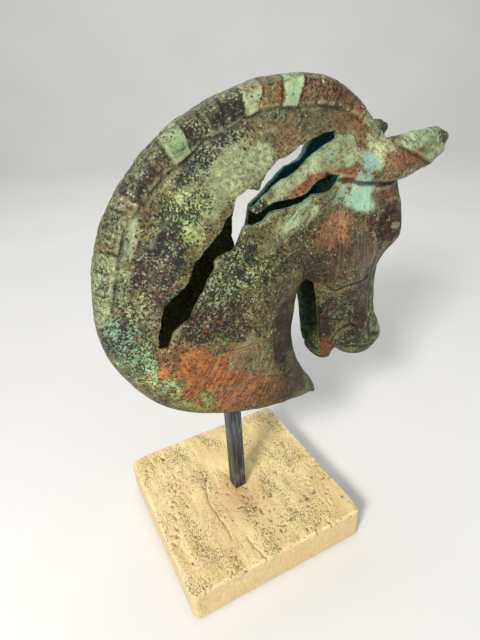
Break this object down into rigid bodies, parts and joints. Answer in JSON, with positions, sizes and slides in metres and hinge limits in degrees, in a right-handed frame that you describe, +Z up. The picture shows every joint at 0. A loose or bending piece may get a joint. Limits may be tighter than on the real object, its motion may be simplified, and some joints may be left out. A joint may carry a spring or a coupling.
{
  "type": "horse head statuette",
  "caption": "Hollow patinated bronze horse head with a torn wall and a cropped mane, on a square steel post and a travertine block.",
  "frame": {"origin": "centre of the underside of the base, on the felt", "axes": "+Z up, +X the way the horse looks along the base's edge, -Y the horse's right side"},
  "size_m": [0.2502, 0.15, 0.3479],
  "materials": {
    "felt": "pressed felt",
    "travertine": "honed, unfilled pits, worn edges",
    "zinc_plated_steel": "zinc plated",
    "blackened_steel": "blackened, brushed along its length",
    "bronze_verdigris": "speckled green and brown patina under a thin lacquer",
    "bronze_rust": "rust-brown patina with green, under a thin lacquer",
    "bronze_mane": "mint and brown patina by tuft, under a thin lacquer"
  },
  "bodies": {
    "root": {"base_felt": "felt", "base_slab": "travertine", "base_screw": "zinc_plated_steel", "base_washer": "zinc_plated_steel", "post": "blackened_steel", "post_stud": "zinc_plated_steel", "neck_bracket": "blackened_steel", "neck_right": "bronze_verdigris", "neck_left": "bronze_verdigris", "head_right": "bronze_rust", "head_left": "bronze_rust", "ear_right": "bronze_rust", "ear_left": "bronze_rust", "mane_crest": "bronze_mane"}
  },
  "joints": []
}
